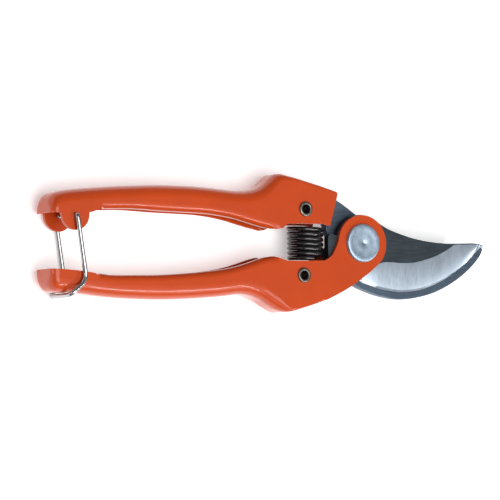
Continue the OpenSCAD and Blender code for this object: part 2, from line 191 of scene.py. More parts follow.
def first_row(bm, places, closed=False):
    row = [bm.verts.new(Vector(p) * MM) for p in places]
    for a, b in zip(row, row[1:]):
        bm.edges.new((a, b))
    if closed:
        bm.edges.new((row[-1], row[0]))
    return row


def make_object(name, bm, materials, smooth=True):
    mesh = bpy.data.meshes.new(name)
    bm.to_mesh(mesh)
    bm.free()
    for material in materials:
        mesh.materials.append(material)
    mesh.polygons.foreach_set("use_smooth", [smooth] * len(mesh.polygons))
    obj = bpy.data.objects.new(name, mesh)
    bpy.context.collection.objects.link(obj)
    return obj


def lathe(bm, profile, centre, segments=96):
    """Spins a profile of (radius, height) points round the Z axis at a centre."""
    row = first_row(bm, [(centre[0] + r, centre[1], z) for r, z in profile])
    geom = row + [bm.edges.get(pair) for pair in zip(row, row[1:])]
    bmesh.ops.spin(bm, geom=geom, cent=Vector((centre[0], centre[1], 0)) * MM, axis=(0, 0, 1),
                   angle=2 * math.pi, steps=segments, use_merge=True)
    bmesh.ops.remove_doubles(bm, verts=bm.verts, dist=1e-7)


def outward(bm):
    bmesh.ops.remove_doubles(bm, verts=bm.verts, dist=2e-7)
    bmesh.ops.recalc_face_normals(bm, faces=bm.faces)


def rounded(profile, radius, count=4):
    """Rounds the inner corners of an open profile with small arcs."""
    out = [profile[0]]
    for before, corner, after in zip(profile, profile[1:], profile[2:]):
        p, a, b = (Vector(v) for v in (corner, before, after))
        reach = min(radius, (a - p).length * 0.45, (b - p).length * 0.45)
        start, end = p + (a - p).normalized() * reach, p + (b - p).normalized() * reach
        for k in range(count + 1):
            t = k / count
            out.append(tuple(start * (1 - t) ** 2 + p * 2 * t * (1 - t) + end * t**2))
    out.append(profile[-1])
    return out


def applied(obj):
    """Replaces an object's mesh with the result of its modifiers."""
    depsgraph = bpy.context.evaluated_depsgraph_get()
    mesh = bpy.data.meshes.new_from_object(obj.evaluated_get(depsgraph))
    old = obj.data
    obj.modifiers.clear()
    obj.data = mesh
    bpy.data.meshes.remove(old)
    mesh.name = obj.name
    return obj


def drop(obj):
    mesh = obj.data
    bpy.data.objects.remove(obj)
    bpy.data.meshes.remove(mesh)


def cut_edges(obj, width, segments=3, angle=50):
    bevel = obj.modifiers.new("cut edges", "BEVEL")
    bevel.width = width * MM
    bevel.segments = segments
    bevel.limit_method = "ANGLE"
    bevel.angle_limit = math.radians(angle)
    bevel.use_clamp_overlap = True
    bevel.harden_normals = False


HOLE_FACES = 48


def cut_with(obj, bm, operation):
    """Takes a shape away from a piece, or keeps only what lies inside the shape."""
    cutter = make_object("cutter", bm, [])
    cut = obj.modifiers.new("cut", "BOOLEAN")
    cut.operation = operation
    cut.solver = "EXACT"
    cut.object = cutter
    applied(obj)
    drop(cutter)


def bored(obj, holes):
    """Cuts round holes (x, y, z from, z to, radius) through a piece."""
    bm = bmesh.new()
    for x, y, z0, z1, r in holes:
        bmesh.ops.create_cone(bm, cap_ends=True, segments=HOLE_FACES,
                              radius1=r * MM, radius2=r * MM, depth=(z1 - z0) * MM,
                              matrix=Matrix.Translation(Vector((x, y, (z0 + z1) / 2)) * MM))
    cut_with(obj, bm, "DIFFERENCE")


def finish_normals(obj, angle=40):
    """Keeps flat faces flat and shades the rounds smoothly."""
    mesh = obj.data
    mesh.polygons.foreach_set("use_smooth", [True] * len(mesh.polygons))
    bm = bmesh.new()
    bm.from_mesh(mesh)
    limit = math.radians(angle)
    for edge in bm.edges:
        edge.smooth = not (len(edge.link_faces) == 2 and edge.calc_face_angle(0) > limit)
    bm.to_mesh(mesh)
    bm.free()
    weigh = obj.modifiers.new("flat faces", "WEIGHTED_NORMAL")
    weigh.keep_sharp = True
    weigh.weight = 60
    applied(obj)


def settle(obj, body, node):
    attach(obj, body)
    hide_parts(node)


# ---------------------------------------------------------------- materials


class Finish:
    """Short way to build a node material on Object coordinates."""

    def __init__(self, name, color, metallic=0.0, roughness=0.4):
        self.material = bpy.data.materials.new(name)
        self.material.use_nodes = True
        self.nodes = self.material.node_tree.nodes
        self.links = self.material.node_tree.links
        self.shader = self.nodes["Principled BSDF"]
        self.shader.inputs["Base Color"].default_value = (*color, 1)
        self.shader.inputs["Metallic"].default_value = metallic
        self.shader.inputs["Roughness"].default_value = roughness
        self.coords = self.nodes.new("ShaderNodeTexCoord").outputs["Object"]
        self.bump_in = None

    def node(self, kind, **values):
        made = self.nodes.new(kind)
        for key, value in values.items():
            if key in made.inputs:
                made.inputs[key].default_value = value
            else:
                setattr(made, key, value)
        return made

    def mapped(self, scale=(1, 1, 1), location=(0, 0, 0), rotation=(0, 0, 0)):
        mapping = self.node("ShaderNodeMapping", Scale=scale, Location=location, Rotation=rotation)
        self.links.new(self.coords, mapping.inputs["Vector"])
        return mapping.outputs["Vector"]

    def noise(self, scale, detail=4.0, rough=0.55, vector=None):
        noise = self.node("ShaderNodeTexNoise", Scale=scale, Detail=detail, Roughness=rough)
        self.links.new(vector or self.coords, noise.inputs["Vector"])
        return noise.outputs["Fac"]

    def ramp(self, factor, stops):
        ramp = self.nodes.new("ShaderNodeValToRGB")
        elements = ramp.color_ramp.elements
        while len(elements) < len(stops):
            elements.new(0.5)
        for element, (place, color) in zip(elements, stops):
            element.position = place
            element.color = (*color, 1) if len(color) == 3 else color
        self.links.new(factor, ramp.inputs["Fac"])
        return ramp.outputs["Color"]

    def mix(self, factor, a, b, blend="MIX"):
        mix = self.nodes.new("ShaderNodeMix")
        mix.data_type = "RGBA"
        mix.blend_type = blend
        for socket, value in ((mix.inputs["Factor"], factor), (mix.inputs[6], a), (mix.inputs[7], b)):
            if isinstance(value, bpy.types.NodeSocket):
                self.links.new(value, socket)
            elif isinstance(value, (int, float)):
                socket.default_value = value
            else:
                socket.default_value = (*value, 1)
        return mix.outputs[2]

    def math(self, operation, a, b=0.0, clamp=False):
        step = self.node("ShaderNodeMath", operation=operation, use_clamp=clamp)
        for socket, value in zip(step.inputs, (a, b)):
            if isinstance(value, bpy.types.NodeSocket):
                self.links.new(value, socket)
            else:
                socket.default_value = value
        return step.outputs[0]

    def between(self, value, a, b):
        """A soft step from 0 at a to 1 at b."""
        step = self.node("ShaderNodeMapRange", interpolation_type="SMOOTHSTEP")
        step.inputs["From Min"].default_value = a
        step.inputs["From Max"].default_value = b
        self.links.new(value, step.inputs["Value"])
        return step.outputs["Result"]

    def scaled(self, value, low, high):
        """Spreads a 0 to 1 value between two numbers."""
        step = self.node("ShaderNodeMapRange")
        step.inputs["To Min"].default_value = low
        step.inputs["To Max"].default_value = high
        self.links.new(value, step.inputs["Value"])
        return step.outputs["Result"]

    def axis(self, name):
        split = self.nodes.new("ShaderNodeSeparateXYZ")
        self.links.new(self.coords, split.inputs[0])
        return split.outputs[name]

    def color(self, socket):
        self.links.new(socket, self.shader.inputs["Base Color"])

    def roughness(self, socket):
        self.links.new(socket, self.shader.inputs["Roughness"])

    def bump(self, height, distance, strength=1.0):
        bump = self.node("ShaderNodeBump", Strength=strength, Distance=distance)
        self.links.new(height, bump.inputs["Height"])
        if self.bump_in is not None:
            self.links.new(self.bump_in, bump.inputs["Normal"])
        self.bump_in = bump.outputs["Normal"]
        self.links.new(self.bump_in, self.shader.inputs["Normal"])


def orange_paint(tones):
    """Thick glossy paint with a faint orange peel and slightly uneven tone."""
    f = Finish("orange paint", tones.paint, 0.0, 0.34)
    light, deep = Vector(tones.paint) * 1.03, Vector(tones.paint) * 0.95
    f.color(f.mix(f.between(f.noise(45, 3), 0.35, 0.7), tuple(deep), tuple(light)))
    f.roughness(f.scaled(f.noise(260, 2), 0.3, 0.42))
    f.shader.inputs["Coat Weight"].default_value = 1.0
    f.shader.inputs["Coat Roughness"].default_value = 0.05
    f.shader.inputs["Coat IOR"].default_value = 1.3
    f.shader.inputs["Specular IOR Level"].default_value = 0.25
    f.bump(f.noise(420, 2, 0.5), 0.00004, 0.35)
    f.bump(f.noise(60, 2, 0.4), 0.0002, 0.12)
    return f.material


def blued(name, color):
    """Dark heat-blued plate with long rolling marks and a mottled oxide."""
    f = Finish(name, color, 0.85, 0.45)
    marks = f.noise(900, 3, 0.6, f.mapped((0.12, 1, 1)))
    cloud = f.noise(70, 4)
    tone = f.mix(f.between(cloud, 0.3, 0.75), tuple(Vector(color) * 0.8), tuple(Vector(color) * 1.25))
    f.color(f.mix(f.scaled(f.between(marks, 0.35, 0.7), 0.0, 0.35), tone, tuple(Vector(color) * 1.7)))
    f.roughness(f.scaled(f.noise(300, 3), 0.36, 0.56))
    f.bump(marks, 0.00003, 0.5)
    return f.material


def blued_steel(tones):
    return blued("blued steel", tones.steel)


def pale_blued_steel(tones):
    return blued("pale blued steel", tones.hook)


def ground_steel(tones):
    """Bright ground bevel with fine wheel marks that run across the edge."""
    f = Finish("ground steel", tones.ground, 1.0, 0.3)
    marks = f.noise(1500, 3, 0.6, f.mapped((1, 0.045, 1), rotation=(0, 0, 0.12)))
    wide = f.noise(220, 2, 0.5, f.mapped((1, 0.1, 1), rotation=(0, 0, 0.12)))
    tone = f.mix(f.between(wide, 0.3, 0.7), tuple(Vector(tones.ground) * 0.86), tones.ground)
    scratch = f.scaled(f.between(marks, 0.4, 0.7), 0.0, 0.4)
    f.color(f.mix(scratch, tone, tuple(Vector(tones.ground) * 0.78)))
    f.roughness(f.scaled(marks, 0.22, 0.46))
    f.bump(marks, 0.00002, 0.5)
    return f.material


def zinc_plate(tones):
    """Bluish zinc plating, crystalline and slightly dulled."""
    f = Finish("zinc plate", tones.zinc, 0.9, 0.4)
    grain = f.node("ShaderNodeTexVoronoi", Scale=2600.0)
    f.links.new(f.coords, grain.inputs["Vector"])
    spread = f.math("FRACT", f.math("MULTIPLY", grain.outputs["Distance"], 7.3))
    dull, clear = tuple(Vector(tones.zinc) * 0.82), tuple(Vector(tones.zinc) * 1.1)
    tone = f.mix(f.between(f.noise(500, 3), 0.35, 0.7), dull, clear)
    f.color(f.mix(f.scaled(spread, 0.0, 0.4), tone, (0.9, 0.93, 0.97)))
    f.roughness(f.scaled(f.noise(700, 3), 0.3, 0.55))
    f.bump(f.noise(1400, 2), 0.00003, 0.5)
    return f.material


def black_coat(tones):
    """Glossy black oil-dipped spring wire."""
    f = Finish("black spring coat", tones.black, 0.0, 0.28)
    f.color(f.mix(f.between(f.noise(260, 3), 0.4, 0.75), tones.black, tuple(Vector(tones.black) * 1.8)))
    f.roughness(f.scaled(f.noise(420, 3), 0.16, 0.4))
    f.shader.inputs["Coat Weight"].default_value = 0.5
    f.shader.inputs["Coat Roughness"].default_value = 0.15
    f.bump(f.noise(900, 2), 0.00003, 0.4)
    return f.material


def bright_wire(tones):
    """Bright plated wire with faint drawing marks."""
    f = Finish("bright wire", tones.wire, 1.0, 0.12)
    marks = f.noise(1100, 2, 0.6, f.mapped((1, 0.06, 1)))
    f.color(f.mix(f.scaled(marks, 0.0, 0.5), tones.wire, tuple(Vector(tones.wire) * 0.8)))
    f.roughness(f.scaled(marks, 0.06, 0.22))
    f.bump(marks, 0.00001, 0.4)
    return f.material


def rivet_steel(tones):
    """Dark turned steel of the tubular rivets."""
    f = Finish("rivet steel", tones.rivet, 1.0, 0.35)
    f.color(f.mix(f.between(f.noise(500, 3), 0.35, 0.7), tuple(Vector(tones.rivet) * 0.6), tones.rivet))
    f.roughness(f.scaled(f.noise(800, 3), 0.25, 0.5))
    f.bump(f.noise(1600, 2), 0.00002, 0.4)
    return f.material


def paper_floor(tones):
    """Matt white paper under the tool."""
    f = Finish("white paper", tones.floor, 0.0, 0.9)
    f.shader.inputs["Specular IOR Level"].default_value = 0.1
    f.shader.inputs["Emission Color"].default_value = (1, 1, 1, 1)
    f.shader.inputs["Emission Strength"].default_value = 0.38
    f.color(f.mix(f.between(f.noise(8, 2), 0.3, 0.7), tones.floor, tuple(Vector(tones.floor) * 0.985)))
    return f.material


def material(name):
    """Makes each finish once, and gives the same one afterwards."""
    made = bpy.data.materials.get(name)
    if made:
        return made
    makers = {"orange paint": orange_paint, "blued steel": blued_steel,
              "pale blued steel": pale_blued_steel, "ground steel": ground_steel,
              "zinc plate": zinc_plate, "black spring coat": black_coat, "bright wire": bright_wire,
              "rivet steel": rivet_steel, "white paper": paper_floor}
    return makers[name](bpy.context.scene.shears_tones)


# ---------------------------------------------------------------- pressed handles

GRIP_ARC = 10
LIP_ARC = 8
WALL_STEPS = 4
TOE_ARC = 8
END_RINGS = 5
END_SQUEEZE = 0.7       # how far the end wall's rings draw in toward its open edge


def half_section(depth, width, back_r, lip_r, curl, lip_flat):
    """One half of the channel's outer section, (depth from the back, distance from the middle)."""
    points = [(0.0, 0.0)]
    for k in range(GRIP_ARC + 1):
        a = math.pi / 2 * k / GRIP_ARC
        points.append((back_r * (1 - math.cos(a)), width - back_r + back_r * math.sin(a)))
    wall_end = depth - lip_r
    for k in range(1, WALL_STEPS):
        t = k / WALL_STEPS
        points.append((back_r + (wall_end - back_r) * t, width))
    for k in range(LIP_ARC + 1):
        a = math.pi / 2 * k / LIP_ARC
        bent = (depth - lip_r + lip_r * math.sin(a), width - lip_r + lip_r * math.cos(a))
        plain = (depth - lip_r + lip_r * k / (LIP_ARC + 1), width)
        points.append(tuple(curl * b + (1 - curl) * p for b, p in zip(bent, plain)))
    bent, plain = (depth, width - lip_r - lip_flat), (depth, width)
    points.append(tuple(curl * b + (1 - curl) * p for b, p in zip(bent, plain)))
    return points


class Channel:
    """The outer sheet of one handle, drawn out section by section from the toe."""

    def __init__(self, back, edge, side, sizes, notch, front_r, ears=False, lead=0.0):
        self.back, self.edge, self.side, self.sizes = back, edge, side, sizes
        self.notch, self.front_r, self.ears, self.lead = notch, front_r, ears, lead

    def edge_at(self, x):
        y = follow(self.edge, x)
        reach = self.sizes.ear_radius / MM
        off = x - LOBE.x
        if self.ears and abs(off) < reach:
            y = min(y, LOBE.y - math.sqrt(reach ** 2 - off ** 2))
        return y

    def section(self, x, inset=0.0, plain=False):
        s = self.sizes
        grip_r, lip = s.back_radius / MM, s.lip_radius / MM
        y_back = follow(self.back, x)
        y_edge = follow(self.edge, x) if plain else self.edge_at(x)
        depth = y_back - y_edge
        base_depth = y_back - follow(self.edge, x)
        back_r = grip_r + (self.front_r - grip_r) * ease(*SHOULDER, x)
        curl = ease(self.notch, self.notch + 1.6, x) * (1 - ease(*CURL_END, x))
        back_r = max(0.5, min(back_r, base_depth - lip * curl - 0.4))
        lip_r = min(lip, (depth - back_r) * 0.8)
        half = half_section(depth, HALF, back_r, lip_r, curl, s.lip_flat / MM)
        near = [(y_back - h, MID + w * (1 - inset / HALF)) for h, w in half]
        far = [(y, 2 * MID - z) for y, z in near[1:]]
        return [(y * self.side, z) for y, z in reversed(near)] + [(y * self.side, z) for y, z in far]

    def row(self, x, inset=0.0, at=None, plain=False):
        place = (stretch(x) if at is None else at) - self.lead * ease(LEAD_START, DRAWN_TOE, x)
        return [(place, y, z) for y, z in self.section(x, inset, plain)]


def grip_stations(end):
    """Places for the sections: close together where the outline turns."""
    xs = steps(-154.2, -134, 40) + steps(-133.6, -68, 66)[:-1] + steps(-67, -20, 94)
    for side in (-6.9, 6.9):
        xs += [LOBE.x + side * math.cos(math.radians(a)) for a in (2, 6, 11, 17, 25, 33)]
    return sorted(x for x in set(round(x, 4) for x in xs) if x <= end)


def closed_toe(bm, channel, row, toe_r):
    """Rounds the end of the channel over and closes it with an end wall."""
    for k in range(1, TOE_ARC + 1):
        a = math.pi / 2 * k / TOE_ARC
        along, inset = toe_r * (1 - math.sin(a)), toe_r * (1 - math.cos(a))
        row = extend(bm, row, channel.row(DRAWN_TOE + along, inset, at=TOE + along, plain=True))
    for k in range(1, END_RINGS):
        t = k / END_RINGS
        places = channel.row(DRAWN_TOE, toe_r + (HALF - toe_r) * t, at=TOE, plain=True)
        root = places[0][1]
        row = extend(bm, row, [(x, root + (y - root) * (1 - END_SQUEEZE * t), z) for x, y, z in places])
    bmesh.ops.contextual_create(bm, geom=[row[0], row[-1]])
    loop = [bm.edges.get(pair) for pair in zip(row, row[1:] + row[:1])]
    bmesh.ops.contextual_create(bm, geom=loop)


def sheet_piece(name, bm, sizes):
    """Gives the drawn sheet its thickness and soft cut edges."""
    outward(bm)
    obj = make_object(name, bm, [material("orange paint")])
    solid = obj.modifiers.new("sheet", "SOLIDIFY")
    solid.thickness = sizes.sheet
    solid.offset = -1
    solid.use_even_offset = True
    solid.use_quality_normals = True
    cut_edges(obj, sizes.paint_edge / MM)
    return applied(obj)


def facing_out(bm):
    """Turns the open sheet so that its faces look away from the inside of the channel."""
    outward(bm)
    probe = max(bm.faces, key=lambda f: f.calc_center_median().z)
    if probe.normal.z < 0:
        bmesh.ops.reverse_faces(bm, faces=bm.faces)


UPPER_FRONT = -11.8     # front edge of the upper handle's walls, at its back
FRONT_REACH = 8         # how much of the outline those walls follow in front of the channel
FRONT_STEPS = 12


def front_edge(h):
    """How far forward the upper handle's walls reach, at a depth h from its back."""
    corner = 2.0
    rounding = corner - math.sqrt(corner**2 - max(0.0, corner - h) ** 2) if h < corner else 0.0
    return UPPER_FRONT - 0.31 * h - rounding


class SHEARS_OT_upper_handle(bpy.types.Operator):
    """Pressed upper handle with its closed toe, bail ears and curled grip edges"""

    bl_idname = "shears.upper_handle"
    bl_label = "Upper Handle"

    def execute(self, context):
        sizes = context.scene.shears_sizes
        channel = Channel(UPPER_BACK, UPPER_EDGE, 1, sizes, -132.4, 1.6, ears=True)
        bm = bmesh.new()
        toe_r = sizes.toe_radius / MM
        xs = [x for x in grip_stations(CHANNEL_END) if x > DRAWN_TOE + toe_r]
        start = first_row(bm, channel.row(DRAWN_TOE + toe_r, at=TOE + toe_r))
        closed_toe(bm, channel, start, toe_r)
        row = start
        for x in xs:
            row = extend(bm, row, channel.row(x))
        for k in range(1, FRONT_STEPS + 1):
            t = k / FRONT_STEPS
            station = CHANNEL_END + FRONT_REACH * t
            places = []
            for y, z in channel.section(station):
                h = max(0.0, follow(UPPER_BACK, station) - y)
                places.append((CHANNEL_END + (front_edge(h) - CHANNEL_END) * t, y, z))
            row = extend(bm, row, places)
        facing_out(bm)
        obj = sheet_piece("upper_handle_shell", bm, sizes)
        rivet = RIVETS["upper_rivet"]
        pin_hole = sizes.bail_wire / MM / 2 + PIN_CLEARANCE
        bored(obj, [(rivet.x, rivet.y, CUT_LOW, CUT_HIGH, BARREL_R),
                    (EAR.x, EAR.y, CUT_LOW, CUT_HIGH, pin_hole)])
        finish_normals(obj)
        settle(obj, "upper_lever", "upper_handle")
        return {"FINISHED"}


def joggled(z, x):
    """The far wall steps in toward the blades in front of the channel."""
    return z + (FAR_RING - WALL_BACK) * ease(-20.2, -13.2, x)


def front_outline(x):
    """Upper and lower limits of the front walls at x."""
    top = math.sqrt(max(0.0, RING**2 - x**2)) if x > -12.3 else follow(POCKET, x)
    return top, follow(APRON, x)


class SHEARS_OT_lower_handle(bpy.types.Operator):
    """Pressed lower handle, carried forward into the two rings at the pivot"""

    bl_idname = "shears.lower_handle"
    bl_label = "Lower Handle"

    def execute(self, context):
        sizes = context.scene.shears_sizes
        channel = Channel(LOWER_BACK, LOWER_EDGE, -1, sizes, -135.2, 0.6, lead=TOE_LEAD)
        bm = bmesh.new()
        toe_r = sizes.toe_radius / MM
        start = first_row(bm, channel.row(DRAWN_TOE + toe_r, at=TOE + toe_r))
        closed_toe(bm, channel, start, toe_r)
        row = start
        for x in [x for x in grip_stations(CHANNEL_END) if x > DRAWN_TOE + toe_r]:
            row = extend(bm, row, channel.row(x))
        count = GRIP_ARC + WALL_STEPS + LIP_ARC + 1
        top, low = front_outline(CHANNEL_END)
        spread = [(v.co.y / MM - top) / (low - top) for v in row[:count + 1]]
        spread[-1] = 1.0
        xs = steps(-19.6, -14, 14) + steps(-13.9, -12.3, 16) + steps(-12.2, -11.5, 7)
        xs += [-RING * math.cos(math.radians(a)) for a in range(24, 180, 3)]
        xs += [RING - 0.012, RING - 0.002]
        near, far = row[:count + 1], row[::-1][:count + 1]
        for x in sorted(set(xs)):
            top, low = front_outline(x)
            if low > top:
                low = top - 0.02
            ys = [top + (low - top) * t for t in spread]
            near = extend(bm, near, [(x, y, WALL_TOP) for y in ys])
            far = extend(bm, far, [(x, y, joggled(WALL_BACK, x)) for y in ys])
        facing_out(bm)
        obj = sheet_piece("lower_handle_shell", bm, sizes)
        rivet = RIVETS["lower_rivet"]
        bored(obj, [(rivet.x, rivet.y, CUT_LOW, CUT_HIGH, BARREL_R),
                    (0, 0, CUT_LOW, CUT_HIGH, BOLT_R + 0.02)])
        finish_normals(obj)
        settle(obj, "lower_lever", "lower_handle")
        return {"FINISHED"}


# ---------------------------------------------------------------- blades

# inner end of the cutting blade, inside the lower handle, from the hub round to the edge
BLADE_TANG = [(-12.3, 3.4), (-14, 4), (-15.6, 4.1), (-16.7, 3.2), (-17, 1.6), (-17, -5),
              (-17.4, -7.4), (-19, -9.7), (-25, -10.8), (-32, -10.6), (-36.6, -13), (-36.4, -19),
              (-30, -21.5), (-20, -20.6), (-10, -18.4), (-5, -17.2), (0, -16.2)]
# counter-blade: outer edge of the hook, from the point back to the hub
HOOK_OUTER = [(66.7, -2.5), (66.1, -4.1), (64.1, -6.8), (59.7, -11), (54.2, -15), (48.8, -18.1),
              (43.3, -20.6), (38, -22.4), (32.6, -23.6), (27.3, -24.4), (23, -24.6), (18.5, -24.3),
              (13.5, -23.4), (8.8, -22.2), (3.6, -20.4), (-0.6, -18.6), (-5, -15.8), (-8.9, -8.9)]
HOOK_TANG = [(-12.6, 0.3), (-13.4, 2.1), (-14.9, 4), (-15.8, 6.4), (-16.1, 8.5), (-19.5, 9.2),
             (-22, 10.9), (-30, 10.9), (-35, 12.4), (-38, 19), (-36, 24.4), (-28, 24.6), (-16, 22),
             (-10, 19.3), (-5.5, 16.6), (-0.75, 13.4)]
HOOK_INNER = [(11.5, -5), (12.6, -10.6), (14.5, -13.4), (17.5, -15.7), (21, -16.9), (25, -17.2),
              (29.5, -17), (34, -16.3), (39.2, -15), (44, -13.2), (49, -10.7), (56.5, -5.6),
              (61.5, -2), (64.8, -1.1), (66.2, -1.4)]


def arc(radius, start, end, count):
    angles = (math.radians(start + (end - start) * k / count) for k in range(count + 1))
    return [(radius * math.cos(a), radius * math.sin(a)) for a in angles]


def flowing(points, pieces=4):
    """Smooth open curve through given points."""
    out = []
    for i in range(len(points) - 1):
        p0, p1 = Vector(points[max(i - 1, 0)]), Vector(points[i])
        p2, p3 = Vector(points[i + 1]), Vector(points[min(i + 2, len(points) - 1)])
        span = (p2 - p1).length
        m1 = (p2 - p0) / max((p2 - p0).length, 1e-6) * span
        m2 = (p3 - p1) / max((p3 - p1).length, 1e-6) * span
        for k in range(pieces):
            u = k / pieces
            out.append(tuple(p1 * (2 * u**3 - 3 * u**2 + 1) + m1 * (u**3 - 2 * u**2 + u)
                             + p2 * (3 * u**2 - 2 * u**3) + m2 * (u**3 - u**2)))
    out.append(tuple(points[-1]))
    return out


def lengthen(x):
    """Moves a blade station with the real length of the blade."""
    if x < BLADE_ROOT:
        return x
    return BLADE_ROOT + (x - BLADE_ROOT) * (TIP - BLADE_ROOT) / (DRAWN_TIP - BLADE_ROOT)


def station_of(x):
    """The station that lengthen moved to x."""
    if x <= BLADE_ROOT:
        return x
    return BLADE_ROOT + (x - BLADE_ROOT) * (DRAWN_TIP - BLADE_ROOT) / (TIP - BLADE_ROOT)


def plate(bm, outline, bottom, top):
    """A flat plate cut to a closed outline."""
    row = first_row(bm, [(x, y, bottom) for x, y in outline], closed=True)
    bmesh.ops.contextual_create(bm, geom=[bm.edges.get(pair) for pair in zip(row, row[1:] + row[:1])])
    grown = bmesh.ops.extrude_face_region(bm, geom=bm.faces[:])
    verts = [g for g in grown["geom"] if isinstance(g, bmesh.types.BMVert)]
    bmesh.ops.translate(bm, verts=verts, vec=(0, 0, (top - bottom) * MM))


class SHEARS_OT_cutting_blade(bpy.types.Operator):
    """Cutting blade with its ground bevel, hub and the tang inside the lower handle"""

    bl_idname = "shears.cutting_blade"
    bl_label = "Cutting Blade"

    def execute(self, context):
        sizes = context.scene.shears_sizes
        low, high = BLADE_LOW.z / MM, BLADE_HIGH.z / MM
        edge = sizes.edge_thickness / MM
        bright, rise_at_edge = 0.9, 0.8
        spine_xs = steps(65.3, 60, 11) + steps(59, 14, 30) + steps(13, 8.2, 4)
        edge_xs = steps(1.5, 56, 40) + steps(57, 65.2, 16)
        outline = [(lengthen(x), follow(BLADE, x)) for x in spine_xs]
        outline += arc(HUB, 49, 164, 40) + flowing(BLADE_TANG, 3)
        outline += [(lengthen(x), follow(BLADE, x, 3)) for x in edge_xs]
        bm = bmesh.new()
        plate(bm, outline, low, low + edge)
        cap = max(bm.faces, key=lambda f: f.calc_center_median().z + f.normal.z)
        levels = ((rise_at_edge, bright), (high - low - edge, None))
        for rise, inward in levels:
            grown = bmesh.ops.extrude_face_region(bm, geom=[cap])
            verts = [g for g in grown["geom"] if isinstance(g, bmesh.types.BMVert)]
            cap = next(g for g in grown["geom"] if isinstance(g, bmesh.types.BMFace))
            bmesh.ops.delete(bm, geom=[f for f in bm.faces if f.is_valid and len(f.verts) > 20
                                       and f is not cap and f.calc_center_median().z > (low + 0.1) * MM],
                             context="FACES_ONLY")
            for v in verts:
                x, y = v.co.x / MM, v.co.y / MM
                v.co.z = (low + edge + rise) * MM
                station = station_of(x)
                fade = ease(-3.2, -0.4, station)
                if fade == 0 or y > follow(BLADE, station, 3) + bright + 0.3:
                    continue
                start = follow(BLADE, max(station, 0), 2)
                limit = follow(BLADE, max(station, 0), 1)
                taper = 1 - 0.75 * ease(46, 60, station)
                goal = start if inward is None else min(y + inward * taper, (start + y) / 2)
                v.co.y += (min(goal, limit - 0.05) - y) * fade * MM
        outward(bm)
        bm.normal_update()
        for face in bm.faces:
            if face.normal.z > 0.15 and face.normal.y < -0.1:
                face.material_index = 1
        obj = make_object("cutting_blade_steel", bm, [material("blued steel"), material("ground steel")])
        cut_edges(obj, 0.16, 2, 45)
        applied(obj)
        rivet = RIVETS["lower_rivet"]
        bored(obj, [(0, 0, low - 1, high + 1, BOLT_R + 0.01),
                    (rivet.x, rivet.y, low - 1, high + 1, BARREL_R)])
        finish_normals(obj, 30)
        settle(obj, "lower_lever", "cutting_blade")
        return {"FINISHED"}


class SHEARS_OT_counter_blade(bpy.types.Operator):
    """Hooked counter-blade with its hub and the tang inside the upper handle"""

    bl_idname = "shears.counter_blade"
    bl_label = "Counter-Blade"

    def execute(self, context):
        low, high = HOOK_LOW.z / MM, HOOK_HIGH.z / MM
        outline = flowing(HOOK_OUTER)[:-1] + arc(HUB, 225, 181, 12) + flowing(HOOK_TANG, 3)
        outline += arc(HUB, 88, -20, 36) + flowing(HOOK_INNER)
        outline = [(lengthen(x), y) for x, y in outline]
        bm = bmesh.new()
        plate(bm, outline, low, high)
        outward(bm)
        obj = make_object("counter_blade_steel", bm, [material("pale blued steel")])
        cut_edges(obj, 0.3, 3, 45)
        applied(obj)
        rivet = RIVETS["upper_rivet"]
        bored(obj, [(0, 0, low - 1, high + 1, BOLT_R + 0.05),
                    (rivet.x, rivet.y, low - 1, high + 1, BARREL_R)])
        finish_normals(obj, 30)
        settle(obj, "upper_lever", "counter_blade")
        return {"FINISHED"}


# ---------------------------------------------------------------- fasteners


HEAD_FACES = 152    # faces round the bolt's head; every fourth one is a pressed mark


